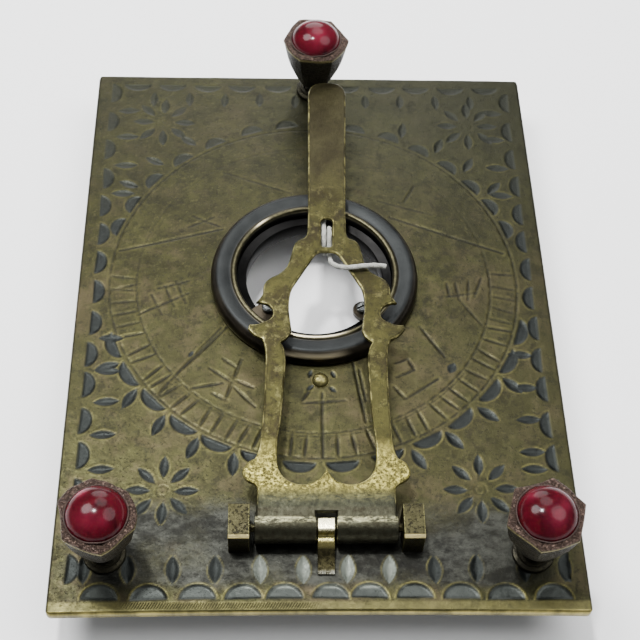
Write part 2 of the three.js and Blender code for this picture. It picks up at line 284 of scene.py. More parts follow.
def aged_brass(
    name, light, dark, grime, polish=None, pits=.35, rough=(.34, .62), scratch=(1, 1, 1), highlit_edge=None,
):
    """Old brass: tarnish in soft clouds, dark specks in pits, bright where edges are worn.
    The last argument is the (y, z) of a front edge that gets a painted highlight."""
    f = Finish(name)
    clouds = f.noise(170, 5, .62, .36, .66, distortion=.4)
    mottle = f.noise(900, 4, .7, .38, .68)
    pit = f.noise(2300, 5, .75, .53, .6)
    f.base(clouds, dark, light)
    f.coat([.72 * v for v in dark], mottle, .35)
    f.coat(grime, pit, pits)
    if polish:
        f.coat(polish, f.worn_edges(), f.ramp(mottle, 0, 1, .9, .4))
    if highlit_edge:
        y, z = highlit_edge
        # Painted highlight along that front edge.
        f.coat((.66, .56, .25), f.along("Y", y + .45, y + .25), f.along("Z", z - .75, z - .5))
    roughness = f.ramp(f.add(f.times(clouds, .5), f.times(mottle, .5)), 0.0, 1.0, *rough)
    return f.done(roughness, f.take(f.times(f.noise(1500, 3, .55, stretch=scratch), .5), f.times(pit, .8)))


def plate_brass():
    """The engraved sheet: olive brass, blue-grey in the punched recesses, dark in the graved lines,
    bright on the raised rims partly by painted highlight, grey and dulled round the hinge, with painted shade
    below the left foot, in front of the hinge and on the right side."""
    f = Finish("plate_brass_aged")
    mottle = f.noise(620, 5, .72, .36, .68)
    fine = f.noise(2600, 3, .6)
    speck = f.ramp(fine, .58, .7)
    clouds = f.noise(110, 5, .62, .36, .66, distortion=.5)
    f.base(clouds, (.0191, .0184, .0067), (.0356, .035, .0116))
    f.coat((.00942, .00874, .00361), mottle, .85)
    f.coat((.098, .092, .036), f.noise(1250, 5, .75, .54, .7), .32)
    brown = f.add(f.noise(70, 4, .6, .52, .68, 0, .45), f.noise(230, 5, .66, .5, .62, 0, .5))
    f.coat((.046, .036, .019), brown, f.along("Y", 26, -4, .45, 1.0))
    # Greyer towards the back, more so on the right.
    back_grey = f.mix(mottle, (.0132, .0138, .00786), (.0205, .0212, .0125))
    f.coat(back_grey, f.along("Y", 4, 46), f.along("X", -30, 40, .35, .8))
    # Painted shade: the right side of the plate darker.
    f.coat((.0132, .0134, .00612), f.along("X", 8, 38), .45)
    f.coat((.064, .06, .024), f.along("Y", 6, -8), f.along("Y", -37, -29), .12)
    f.coat((.0062, .0058, .0032), speck, .6)
    f.coat((.0085, .0085, .0046), f.noise(380, 6, .78, .53, .6), .55)
    bloom = f.noise(300, 7, .8, .44, .6, stretch=(.7, 1.3, 1))
    # Dulled grey tarnish round the hinge, with painted shade below the left foot and in front of the hinge.
    f.coat(f.mix(bloom, (.008, .0082, .007), (.031, .032, .027)), f.mark("dull"))
    # Recesses are grey, paler towards the front edge; the petals in front of the hinge take a painted
    # highlight.
    grey = f.mix(mottle, (.0086, .0101, .0094), (.0138, .0158, .0144))
    pale = f.mix(mottle, (.03, .034, .03), (.046, .051, .046))
    grey = f.mix(f.along("Y", -45.5, -47.5, 0.0, .6), grey, pale)
    f.coat(f.mix(f.mark("clean"), grey, (.088, .097, .082)), f.mark("recess"))
    f.coat((.0062, .0062, .0044), f.mark("line"))
    # The raised rims are partly worn bright and partly a painted highlight.
    f.coat((.105, .096, .031), f.mark("rim"), f.noise(330, 4, .7, .42, .58, .15, 1.0))
    strip = f.mix(mottle, (.088, .08, .028), (.05, .046, .018))
    f.coat(strip, f.along("Y", -49.0, -49.5, 0.0, .7))
    broken = f.noise(260, 4, .7, .42, .6, .25, 1.0, stretch=(1, .2, .2))
    f.coat((.3, .255, .085), f.along("Y", -50.45, -50.75), broken)
    hatched = f.put("Mapping", {"Vector": f.place(), "Rotation": (0, 0, .5)})
    milled = f.times(f.put("TexWave", {"Vector": hatched, "Scale": 950.0}, "Fac"), f.mark("milled"))
    f.coat((.0066, .00636, .00291), milled, .7)
    height = f.take(f.add(f.times(fine, .35), f.times(mottle, .3)), f.times(speck, .5))
    roughness = f.ramp(f.add(mottle, f.times(f.mark("dull"), .5)), 0.0, 1.5, .34, .6)
    return f.done(roughness, f.take(height, milled), distance=.00015)


def ring_bronze():
    """Near-black bronze with a blue-grey band on top, an olive inner lip, painted shade down the inner wall
    and painted highlights on the lip crests.
    """
    f = Finish("ring_bronze_dark")
    clouds = f.noise(210, 4, .6, .38, .66)
    mottle = f.noise(1400, 4, .65, .38, .66)
    f.base(clouds, (.02, .0165, .0115), (.044, .036, .024))
    # Painted shade down the inner wall.
    f.coat((.004, .0038, .0036), f.mark("inside"))
    f.coat(f.mix(clouds, (.012, .0132, .0132), (.0215, .0232, .0228)), f.mark("band"))
    f.coat(f.mix(mottle, (.036, .033, .018), (.072, .065, .034)), f.mark("lip"))
    # Painted highlight on the crests at the front and at a spot at the back left.
    f.coat((.9, .78, .52), f.mark("glint"))
    roughness = f.add(f.ramp(clouds, 0.0, 1.0, .28, .42), f.times(f.mark("band"), .14))
    return f.done(roughness, mottle, strength=.06)


def gnomon_leaf_brass():
    """Worn yellow brass: bright and pitted above the hinge, grey at the roll, brown along the finger, with
    painted highlights along the barrel's top and the edges.
    """
    f = Finish("gnomon_leaf_brass")
    clouds = f.noise(230, 5, .62, .36, .66, distortion=.4)
    mottle = f.noise(1100, 4, .72, .38, .68)
    pit = f.noise(2300, 5, .75, .47, .55)
    from_pin = lambda low, high: f.along("Y", PIN_Y + low, PIN_Y + high)
    f.base(clouds, (.0219, .0194, .0063), (.0453, .0421, .012))
    f.coat((.015, .0115, .0058), f.noise(190, 7, .75, .48, .58), f.ramp(mottle, 0, 1, .45, .95))
    f.coat((.118, .108, .04), f.noise(520, 6, .8, .54, .62), .5)
    f.coat((.0085, .0078, .0045), f.noise(900, 6, .8, .55, .61), .6)
    f.coat(f.mix(clouds, (.0156, .013, .0054), (.029, .0257, .0108)), from_pin(50, 68))
    bright = f.times(from_pin(13.5, 9.0), from_pin(3.2, 6.0))
    f.coat(f.mix(mottle, (.44, .385, .095), (.17, .15, .042)), bright)
    roll = f.times(from_pin(5.8, 3.6), f.ramp(mottle, 0, 1, .75, 1.0))
    f.coat(f.mix(mottle, (.0283, .0306, .0204), (.0127, .0134, .0084)), roll)
    f.coat(f.mix(mottle, (.036, .036, .023), (.018, .016, .009)), from_pin(2.5, 1.9))
    flecks = f.noise(1300, 5, .75, .44, .56, stretch=(.6, 1.6, 1))
    # Painted highlight: a bright flecked line along the top of the barrel.
    f.coat((.24, .23, .13), from_pin(-.35, .05), from_pin(.85, .45), flecks)
    f.coat((.16, .15, .055), roll, flecks, from_pin(2.6, 4.2), .45)
    pit = f.maths("MAXIMUM", pit, f.noise(780, 6, .82, .52, .58, 0, .8))
    f.coat((.00849, .00746, .0036), pit, f.add(f.times(bright, .72), .14))
    # The top chamfers: partly worn bright, partly a painted highlight.
    f.coat((.36, .325, .13), f.mark("edge"), f.noise(420, 5, .75, .46, .58, .12, .9))
    depth = f.times(pit, f.add(f.times(bright, .6), .12))
    height = f.take(f.noise(1300, 3, .6, 0, 1, 0, .3, stretch=(4, 1, 1)), depth)
    return f.done(f.ramp(f.add(mottle, pit), 0.0, 2.0, .28, .58), height, metallic=.92)


def strap_brass():
    """Brass polished bright on top of the strap, speckled on its step and dark down the tail."""
    f = Finish("hinge_strap_brass")
    mottle = f.noise(1500, 4, .7, .38, .66)
    f.base(mottle, (.34, .3, .11), (.14, .12, .045))
    f.coat((.88, .82, .52), f.along("Z", 3.2, 3.9))
    tail = f.mix(mottle, (.034, .03, .014), (.07, .062, .028))
    f.coat(tail, f.along("Y", PIN_Y - 2.3, PIN_Y - 2.9))
    f.coat((.2, .2, .17), f.along("Y", PIN_Y - 5.2, PIN_Y - 5.8), mottle)
    lines = f.noise(1700, 3, .55, stretch=(5, 1, 1))
    return f.done(f.ramp(mottle, 0, 1, .2, .42), lines, strength=.3, metallic=.95)


def steel():
    f = Finish("ear_screw_steel_worn")
    lines = f.noise(2500, 3, .5, stretch=(1, 6, 1))
    f.base(f.noise(1800, 4, .65, .36, .66), (.075, .08, .08), (.19, .2, .195))
    return f.done(f.ramp(lines, .3, .7, .25, .5), lines, strength=.25, metallic=1.0)


def ruby():
    """Deep red glass, cloudy inside, with a polished face, painted light where light gathers inside and
    painted shade round its lower edge.
    """
    f = Finish("ruby_glass_cloudy")
    wisps = f.noise(800, 5, .7, .5, .74, distortion=2.0)
    clouds = f.noise(330, 5, .62, .36, .64, distortion=1.1)
    f.base(clouds, (.0121, .00048, .00168), (.0506, .00144, .00504))
    f.coat((.081, .0048, .0118), f.noise(190, 3, .5, .4, .64), .5)
    f.coat((.0648, .0168, .00924), wisps, .3)
    # Painted light where light gathers inside the stone, then painted shade down its lower edge.
    f.coat((.251, .0192, .0462), f.mark("glow"))
    f.coat((.0142, .00096, .00168), f.mark("skirt"))
    return f.done(.16, wisps, strength=.03, metallic=0.0, **{
        "Specular IOR Level": .08, "Coat Weight": .08, "Coat Roughness": .02, "Coat IOR": 1.5,
        "Subsurface Weight": .25, "Subsurface Radius": (.00048, 8e-05, .00012), "Subsurface Scale": 1.0,
    })


def cup_brass():
    """Dark olive-brown cup with a pinkish-brown stippled rim."""
    f = Finish("foot_brass_dark")
    stipple = f.noise(3000, 3, .65, .4, .62)
    f.base(f.noise(260, 5, .62, .36, .66), (.0092, .0076, .0039), (.0265, .022, .01))
    # Painted highlight along the upper outer edge.
    f.coat((.34, .29, .12), f.mark("edge"))
    f.coat(f.mix(stipple, (.026, .015, .011), (.125, .083, .064)), f.mark("rim"))
    roughness = f.ramp(stipple, 0.0, 1.0, .38, .66)
    return f.done(roughness, stipple, strength=.7, distance=.0004, metallic=.75)


def cement():
    f = Finish("setting_cement_stippled")
    stipple = f.noise(2600, 4, .7, .36, .66)
    f.base(stipple, (.0176, .00802, .0058), (.0647, .0331, .0242))
    return f.done(f.ramp(stipple, 0, 1, .45, .75), stipple, strength=.5, distance=.0003, metallic=.15)


def cotton():
    f = Finish("white_cotton_twist")
    fibres = f.noise(5200, 4, .7, .36, .66)
    f.base(fibres, (.34, .345, .3), (.64, .64, .57))
    f.coat((.4, .39, .33), f.noise(500, 3, .5, .45, .7), .4)
    return f.done(.85, fibres, strength=.9, metallic=0.0, **{"Sheen Weight": .3})


PLATE_BRASS = plate_brass()
STUD_BRASS = aged_brass(
    "noon_stud_brass", (.2, .18, .066), (.1, .09, .035), (.04, .034, .018),
    pits=.3, rough=(.22, .4),
)
HINGE_BRASS = aged_brass(
    "hinge_brass_dull", (.05, .046, .0195), (.02, .0178, .008), (.0066, .006, .0038),
    polish=(.298, .276, .109), pits=.85, scratch=(1, 4, 1), highlit_edge=(PIN_Y - 2.5, 5.0),
)
COLLAR_BRASS = aged_brass(
    "foot_collar_brass", (.024, .022, .012), (.011, .01, .007), (.006, .005, .004), pits=.4,
)
BRONZE, STEEL, STRAP_BRASS = ring_bronze(), steel(), strap_brass()
RUBY, CUP_BRASS, CEMENT, COTTON = ruby(), cup_brass(), cement(), cotton()


# ---- string stub

# The route of the string's centreline: across, along from the pin, and up over the pin.
STRING_ROUTE = [
    (-.45, 54.4, .5), (-.45, 53.0, .45), (-.44, 51.9, .85), (-.43, 50.9, 1.5),
    (-.43, 49.8, 1.7), (-.43, 48.9, 1.35), (-.42, 48.1, .5), (-.3, 47.9, -.6),
    (-.1, 48.7, -1.7), (.1, 50.2, -2.2), (.3, 51.6, -1.4), (.42, 52.05, -.1),
    (.43, 51.5, 1.05), (.43, 50.5, 1.65), (.43, 49.4, 1.55), (.44, 48.3, .95),
    (.46, 47.3, .5), (.52, 46.2, .42), (.7, 45.1, .85), (1.2, 43.9, 1.7),
    (2.1, 43.0, 2.45), (3.4, 42.6, 2.85), (4.8, 42.75, 2.92), (6.5, 43.0, 2.85),
    (8.0, 43.1, 2.75), (9.2, 43.0, 2.6),
]
STRING_DIAMETER = .8


def on_gnomon(points):
    """Gnomon coordinates (across, along from the pin, over the pin) to plate millimetres."""
    p = np.asarray(points, float)
    x, v, h = p[:, 0] + LEAN * p[:, 1], p[:, 1], p[:, 2]
    c, s = math.cos(FOLD_TILT), math.sin(FOLD_TILT)
    return np.stack([PIN_X + x, PIN_Y + v * c - h * s, PIN_Z + v * s + h * c], 1)


def twisted_tube(path, diameter, sides=14, strands=3, pitch=1.6):
    """A three-strand twist along path, closed at its ends."""
    along = np.concatenate([[0], np.cumsum(np.linalg.norm(np.diff(path, axis=0), axis=1))])
    tangent = np.gradient(path, axis=0)
    tangent /= np.linalg.norm(tangent, axis=1)[:, None]
    normal = np.cross(tangent[0], (0, 0, 1.0))
    points = []
    for k, (centre, t) in enumerate(zip(path, tangent)):
        normal -= t * normal.dot(t)
        normal /= np.linalg.norm(normal)
        other = np.cross(t, normal)
        for j in range(sides):
            a = 2 * math.pi * j / sides
            lobe = .46 + .04 * math.cos(strands * a - 2 * math.pi * along[k] / pitch)
            points.append(centre + diameter * lobe * (math.cos(a) * normal + math.sin(a) * other))
    rings = np.arange(len(points)).reshape(-1, sides).tolist()
    return np.array(points), [*skinned(rings), rings[0][::-1], rings[-1]]


def add_string():
    path = on_gnomon(smooth_line(STRING_ROUTE, 9))
    points, faces = twisted_tube(path, STRING_DIAMETER)
    string = piece("string_stub", points, faces, COTTON, "gnomon", "gnomon_string", sharp=70)


# ---- engraved plate

STEP = .2


def cloud(x, y, cell, seed):
    """Smooth value noise from 0 to 1 with features of about cell millimetres."""
    count = int(140 / cell) + 4
    table = np.random.default_rng(seed).random((count, count))
    u, v = (x + 60) / cell, (y + 60) / cell
    i, j = np.floor(u).astype(int), np.floor(v).astype(int)
    s, t = u - i, v - j
    s, t = s * s * (3 - 2 * s), t * t * (3 - 2 * t)
    low = table[j, i] * (1 - s) + table[j, i + 1] * s
    high = table[j + 1, i] * (1 - s) + table[j + 1, i + 1] * s
    return low * (1 - t) + high * t


def smoothstep(v):
    v = np.clip(v, 0, 1)
    return v * v * (3 - 2 * v)


def bell(v, middle, width):
    return np.exp(-(((v - middle) / width) ** 2))


class Relief:
    """The plate's top as a height field with cuts, the rims they raise, and marks for the finish."""

    def __init__(self):
        self.xs = np.linspace(-HALF_WIDTH, HALF_WIDTH, int(2 * HALF_WIDTH / STEP) + 1)
        self.ys = np.linspace(-HALF_LENGTH, HALF_LENGTH, int(2 * HALF_LENGTH / STEP) + 1)
        self.x, self.y = np.meshgrid(self.xs, self.ys)
        self.cut, self.rim, self.tone, self.line = (np.zeros_like(self.x) for _ in range(4))
        self.random = random.Random(7)

    def window(self, x, y, reach):
        i = slice(*np.searchsorted(self.xs, (np.min(x) - reach, np.max(x) + reach)))
        j = slice(*np.searchsorted(self.ys, (np.min(y) - reach, np.max(y) + reach)))
        return (j, i), self.x[j, i], self.y[j, i]

    def raise_to(self, where, **layers):
        """Lifts each named layer to at least the given values."""
        for name, values in layers.items():
            layer = getattr(self, name)
            layer[where] = np.maximum(layer[where], values)

    def groove(self, points, width=.34, depth=.13, rim=.25):
        """A V-shaped graver's line through points."""
        for (x0, y0), (x1, y1) in zip(points, points[1:]):
            where, x, y = self.window((x0, x1), (y0, y1), 1.2)
            length = (x1 - x0) ** 2 + (y1 - y0) ** 2
            t = np.clip(((x - x0) * (x1 - x0) + (y - y0) * (y1 - y0)) / length, 0, 1)
            away = np.hypot(x - x0 - t * (x1 - x0), y - y0 - t * (y1 - y0))
            taper = .55 + .45 * np.sin(np.pi * np.clip(t, .06, .94))
            self.raise_to(
                where, cut=depth * taper * np.clip(1 - away / (width * taper), 0, 1),
                line=.9 * smoothstep(1.3 - away / (width * taper * .8)) * min(1, depth / .12),
                rim=rim * bell(away, width * 1.25, .16) * min(1, depth / .13),
            )

    def arc(self, x, y, radius, start, end, width=.3, depth=.11, rim=.2):
        turns = np.radians(np.linspace(start, end, max(3, int(abs(end - start) / 4))))
        self.groove([(x + radius * math.cos(a), y + radius * math.sin(a)) for a in turns], width, depth, rim)

    def local(self, x, y, turn, reach):
        where, gx, gy = self.window((x,), (y,), reach)
        c, s = math.cos(math.radians(turn)), math.sin(math.radians(turn))
        return where, (gx - x) * c + (gy - y) * s, (gy - y) * c - (gx - x) * s

    def moon(self, x, y, turn, half=2.5, rise=2.2, depth=.16, rim=.7):
        """A half-moon punch. Its flat side lies along turn and it bulges to the left of that."""
        x, y, turn = (v + self.random.uniform(-s, s) for v, s in ((x, .15), (y, .15), (turn, 3)))
        where, u, v = self.local(x, y, turn, half + 1.5)
        bow = np.hypot(u / half, v / rise)
        inside = np.minimum((1 - bow) * rise, v)
        self.raise_to(
            where, cut=depth * smoothstep(inside / .38), tone=smoothstep(.25 + inside / .25),
            rim=rim * bell((bow - 1) * rise, .14, .12) * (v > -.1),
        )

    def petal(self, x, y, turn, half=2.0, wide=.85, depth=.18, rim=.5):
        """A pointed lens punch along turn, deepest along its spine."""
        x, y, turn = (v + self.random.uniform(-s, s) for v, s in ((x, .12), (y, .12), (turn, 4)))
        where, u, v = self.local(x, y, turn, half + 1.2)
        edge = wide * np.clip(1 - (u / half) ** 2, 0, 1)
        inside = edge - np.abs(v)
        self.raise_to(
            where, cut=depth * smoothstep(inside / (wide * .8)),
            tone=smoothstep(.2 + inside / .22) * (edge > .02),
            rim=rim * bell(inside, -.13, .11) * (edge > .05),
        )

    def flower(self, x, y, depth=.17, reach=3.7):
        for k in range(8):
            a = math.radians(90 + 45 * k)
            far = reach + self.random.uniform(-.25, .3)
            self.petal(x + far * math.cos(a), y + far * math.sin(a), math.degrees(a), 1.9, .78, depth)
        self.arc(x, y, .85, 0, 360, .22, depth * .45, .5)


def polar(radius, degrees):
    a = math.radians(degrees)
    return radius * math.cos(a), DIAL_Y + radius * math.sin(a)


def engrave(relief):
    """Every punched and graved mark on the plate's face."""
    groove, arc, moon, petal, flower = relief.groove, relief.arc, relief.moon, relief.petal, relief.flower
    draw = relief.random
    inner, outer = 28.3, 32.6
    arc(0, DIAL_Y, outer, -178, 182, .3, .1)
    arc(0, DIAL_Y, inner, 178, 365, .3, .1)
    arc(0, DIAL_Y, inner + .55, 222, 322, .22, .07, .5)
    arc(0, DIAL_Y, inner, 5, 178, .3, .04)
    # The ladder of divisions between the two circles, round the noon half and a little beyond.
    noon = 271.4
    for k in range(-21, 22):
        angle = noon + 4.35 * k + draw.uniform(-.5, .5)
        if k:
            faint = 1.0 if abs(k) < 17 else .55
            ends = polar(inner + .3, angle), polar(outer - .35, angle + draw.uniform(-1.2, 1.2))
            groove(ends, .36, .14 * faint, .35)
    # Hour lines run from the ring to the ladder; the heavier ones were cut twice.
    groove([(.85, -15.6), (.75, -26.8)], .36, .17)
    hour_lines = [
        [(-14.9, 16.1), (-31.4, 11.4)], [(-14.6, -3.6), (-22.5, -13.9), (-23.8, -16.0)],
        [(-13.7, -3.4), (-20.2, -11.2)], [(16.4, -3.2), (20.0, -9.0)], [(12.7, 18.9), (31.0, 11.4)],
        [(5.7, -10.0), (7.3, -20.7)], [(6.6, -11.4), (7.4, -17.0)], [(-27.7, -1.2), (-20.0, 3.0)],
        [(23.1, 2.0), (26.5, -3.2)], [(-15.0, 28.4), (-3.6, 23.9)], [(11.0, 22.4), (19.9, 19.4)],
        [(-32.8, 3.3), (-27.8, 4.8)],
    ]
    for k, line in enumerate(hour_lines):
        groove(line, depth=.15 if k < 8 else .08)
    # Hour marks, each a few graver's strokes: generic strokes for noon and the hours beside it.
    strokes = [
        [(-2.2, -17.4), (4.3, -16.9)], [(-.6, -14.3), (-2.2, -17.0)],
        [(-11.4, -9.5), (-12.6, -13.2), (-13.7, -16.6)], [(-16.3, -11.2), (-12.6, -13.9)],
        [(-18.9, -14.8), (-14.2, -13.9)], [(-12.7, -14.4), (-9.3, -18.1)],
        [(-15.8, -15.7), (-13.6, -17.0)], [(-14.3, -9.4), (-12.0, -11.2)], [(-12.2, -13.4), (-9.6, -14.7)],
        [(12.2, -10.2), (14.2, -9.3), (15.1, -11.4), (12.3, -12.7)],
        [(11.8, -14.5), (13.5, -16.6), (18.7, -13.0)],
        [(21.3, 5.2), (21.6, 2.7)], [(22.7, 5.3), (23.1, 2.0)], [(24.9, 5.7), (24.5, 2.0)],
        [(27.0, 6.3), (25.6, 2.7)], [(21.2, 2.6), (26.0, 3.4)], [(-25.8, 2.6), (-24.0, -1.2)],
        [(-23.8, 4.4), (-22.2, .4)], [(-22.0, 5.4), (-20.4, 1.0)], [(-24.8, 3.9), (-20.0, 5.4)],
        [(-19.8, 18.8), (-15.4, 16.6)], [(-20.5, 16.4), (-16.4, 18.6)], [(15.4, 22.2), (17.2, 25.6)],
    ]
    for k, line in enumerate(strokes):
        groove(line, .36, .17 if k < 11 else .1)
    petal(21.0, -11.0, 60, 1.1, .8, .12, .1)
    petal(-19.1, -8.6, 55, .8, .4, .12, .1)
    for x, y, turn in ((-1.0, -12.2, 70), (-.9, -14.6, 40), (2.5, -12.4, 115), (2.5, -14.9, 140)):
        petal(x, y, turn, .8, .4, .16)
    # Half-moons stand on the outer circle with petals at their joins.
    clear = 202.4, 212.5, 222.7, 233.4, 243.6, 254.2, 265.4, 276.4, 288.2, 299.6, 310.2, 322.0, 332.6, 342.4
    for angle in clear:
        moon(*polar(outer + .5, angle), angle - 90, 2.55, 1.9, .17)
    worn = 19.0, 27.8, 36.6, 46.4, 56.2, 66.6, 77.0, 87.0, 97.0, 108.0, 119.6, 130.6, 141.8, 152.4, 161.6
    for angle in worn:
        moon(*polar(outer + .6, angle), angle - 90, 2.0, 1.9, .12, .3)
    for angle, lean in (
        (207.6, -6), (218.6, 18), (228.8, 14), (239.0, 6), (249.6, 16),
        (294.4, 4), (304.6, 3), (316.0, 2), (326.6, -8),
    ):
        petal(*polar(35.9, angle), angle + lean, 2.1, .9, .18)
    for angle in (32.4, 42.6, 53.0, 64.0, 125.4, 136.8, 147.0):
        petal(*polar(36.6, angle), angle + 14, 1.9, .8, .18, .3)
    # The border: half-moons with their flat sides outward, and a petal inside every join.
    for k, x in enumerate((-30.3, -23.6, -16.9, -10.8, -5.0, 1.5, 6.9, 13.0, 19.5, 25.6, 32.4)):
        moon(x, -49.1, 0, 2.62, 2.45, .18 if 0 < k < 10 else .13, .9)
    for x in (-32.8, -26.8, -20.5, -14.6, -8.5, -2.5, 3.7, 9.7, 16.0, 21.8, 28.6, 34.2):
        petal(x, -44.5, 90, 2.25, .98, .2, .55)
    sides = 46.8, 39.9, 33.4, 27.0, 21.0, 14.8, 9.2, 3.2, -2.8, -8.7, -14.1, -20.5, -26.3, -32.4, -38.4, -44.2
    for k, y in enumerate(sides):
        depth = .11 if y > 12 else .17
        moon(-35.2, y, -90, 2.35, 1.95, depth, .25)
        moon(35.2, y - 1.6 + .1 * k, 90, 2.35, 1.8, depth, .25)
    for y in (42.6, 36.4, 29.7, 23.7, -5.6, -11.7, -17.3, -23.0, -28.8):
        depth = .12 if y > 0 else .18
        petal(-31.6, y, 2, 2.1, .78, depth, .7)
        petal(31.9, y + .1 - (3.0 if -28 < y < 0 else 0), -2, 2.1, .78, depth, .7)
    for k in range(11):
        moon(-30.6 + 6.2 * k, 48.9, 180, 2.45, 1.7, .15, .2)
    for k in range(10):
        petal(-27.5 + 6.2 * k, 45.3, 90, 1.8, .75, .14, .2)
    flower(-22.5, -32.2)
    flower(23.5, -32.0)
    flower(-25.5, 39.8, .12)
    flower(27.4, 39.5, .12)


STUD_PLACE = (.6, -13.4, 0)
# Each hole's middle and radius: the ring's spigot, the stud's pin and the three bushes.
HOLES = [(0, DIAL_Y, 11.55), (*STUD_PLACE[:2], .75), *((x, y, 2.45) for x, y, _ in FEET.values())]


def plate_mesh(relief):
    """The relief as a closed sheet with rounded edges and its round holes."""
    x, y = relief.x.copy(), relief.y.copy()
    worn = smoothstep((y - 8) / 40) * .35
    sizes = (.1, 9), (.035, 2.3), (.02, .7)
    dents = sum(high * (cloud(x, y, wide, k + 1) - .5) for k, (high, wide) in enumerate(sizes))
    z = dents - relief.cut * (1 - worn) + .035 * relief.rim
    edge = np.minimum(HALF_WIDTH - np.abs(x), HALF_LENGTH - np.abs(y))
    rounding = .34
    lowered = np.clip(rounding - edge, 0, rounding)
    z -= rounding - np.sqrt(rounding ** 2 - lowered ** 2)
    # The square grid's corners are drawn in to the plate's small corner radius.
    u = np.clip((np.abs(x) - HALF_WIDTH + CORNER) / CORNER, 0, 1)
    v = np.clip((np.abs(y) - HALF_LENGTH + CORNER) / CORNER, 0, 1)
    x -= np.sign(x) * CORNER * (u - u * np.sqrt(1 - v * v / 2))
    y -= np.sign(y) * CORNER * (v - v * np.sqrt(1 - u * u / 2))
    # The front edge was filed a little hollow.
    y += .35 * (1 - (x / HALF_WIDTH) ** 2) * smoothstep((-45 - relief.y) / 6)
    rows, columns = x.shape
    index = np.arange(rows * columns).reshape(rows, columns)
    quads = np.stack([index[:-1, :-1], index[:-1, 1:], index[1:, 1:], index[1:, :-1]], -1).reshape(-1, 4)
    points = np.stack([x, y, z], -1).reshape(-1, 3)
    middle = points[quads].mean(1)
    kept = np.ones(len(quads), bool)
    for hx, hy, radius in HOLES:
        kept &= np.hypot(middle[:, 0] - hx, middle[:, 1] - hy) > radius
    border = np.intersect1d(quads[kept], quads[~kept])
    for hx, hy, radius in HOLES:
        away = points[border, :2] - (hx, hy)
        far = np.linalg.norm(away, axis=1)
        near = np.abs(far - radius) < .4
        points[border[near], :2] = (hx, hy) + away[near] * (radius / far[near])[:, None]
    dull = smoothstep((-32.5 - y) / 5) * smoothstep((-y + 52) / 4) * smoothstep((34 - np.abs(x)) / 6)
    dull = np.clip(dull * (.35 + 1.1 * cloud(x, y, 6, 11)) * smoothstep((y + 48.2) / 2.5), 0, .9)
    left_of_hinge = bell(x, -14, 9) * bell(y, -38.5, 4.5) * (.4 + .6 * cloud(x, y, 4, 15))
    # Painted shade: darker grey just below the left foot and along the front of the hinge.
    under_foot = bell(x, -29, 7) * bell(y, -45, 5)
    under_hinge = bell(x, 1, 13) * bell(y, -42.6, 2.6)
    dull = np.clip(dull + .6 * left_of_hinge + .45 * under_foot + .4 * under_hinge, 0, .95)
    petals = smoothstep((12 - np.abs(x - .6)) / 1.5)
    hatched = smoothstep((11 - np.abs(x + 14)) / 4 + 1)
    rim = relief.rim * (.35 + .75 * cloud(x, y, 3, 13)) * (1 - worn * 2.2) * (relief.tone < .5)
    marks = {
        "recess": np.clip(relief.tone * (1 - .45 * worn / .35), 0, 1),
        "rim": np.clip(rim, 0, 1),
        "dull": dull,
        "line": relief.line * (1 - relief.tone) * (.65 + .45 * cloud(x, y, 4, 14)) * (1 - worn),
        # Painted highlight in the petals in front of the hinge.
        "clean": petals * smoothstep((-41.5 - y) / .8) * smoothstep((y + 47.4) / .4),
        "milled": hatched * smoothstep((y + 50.45) / .15) * smoothstep((-49.3 - y) / .15),
    }
    used = np.unique(quads[kept])
    renumber = np.zeros(len(points), int)
    renumber[used] = np.arange(len(used))
    return points[used], renumber[quads[kept]], {k: m.reshape(-1)[used] for k, m in marks.items()}


def add_plate():
    relief = Relief()
    engrave(relief)
    points, quads, marks = plate_mesh(relief)
    mesh = bpy.data.meshes.new("engraved_plate")
    mesh.from_pydata(points.tolist(), [], quads.tolist())
    add_marks(mesh, marks)
    solid = bmesh.new()
    solid.from_mesh(mesh)
    # Two bands take every rim down to the underside, which is then filled.
    for low, inset in ((.25 - THICKNESS, 1.0), (-THICKNESS, 1 - .2 / HALF_WIDTH)):
        rims = [e for e in solid.edges if e.is_boundary]
        for vertex in bmesh.ops.extrude_edge_only(solid, edges=rims)["geom"]:
            if isinstance(vertex, bmesh.types.BMVert):
                vertex.co.z = low
                if abs(vertex.co.x) > HALF_WIDTH - 1 or abs(vertex.co.y) > HALF_LENGTH - 1:
                    vertex.co.x, vertex.co.y = vertex.co.x * inset, vertex.co.y * inset
    bmesh.ops.triangle_fill(solid, use_beauty=True, edges=[e for e in solid.edges if e.is_boundary])
    bmesh.ops.recalc_face_normals(solid, faces=solid.faces)
    bmesh.ops.transform(solid, matrix=Matrix.Translation(ORIGIN) @ Matrix.Scale(MM, 4), verts=solid.verts)
    solid.to_mesh(mesh)
    solid.free()
    mesh.materials.append(PLATE_BRASS)
    mesh.shade_smooth()
    mesh.set_sharp_from_angle(angle=math.radians(60))
    plate = linked("engraved_plate", mesh)
    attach(plate, "plate")
    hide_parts("base_plate")


# ---- compass ring

RING_PROFILE = [
    (11.4, .1), (16.3, .1), (16.46, .3), (16.52, .7), (16.5, 1.15), (16.4, 1.6), (16.25, 1.95),
    (16.05, 2.28), (15.8, 2.54), (15.5, 2.72), (15.2, 2.79), (14.85, 2.78), (14.3, 2.68), (13.8, 2.54),
    (13.5, 2.45), (13.36, 2.45), (13.26, 2.52), (13.14, 2.63), (12.98, 2.7), (12.8, 2.71), (12.62, 2.65),
    (12.48, 2.51), (12.42, 2.32), (12.4, 2.0), (12.4, .78), (12.32, .7), (10.98, .7), (10.9, .62),
    (10.9, -1.9), (11.4, -1.9),
]


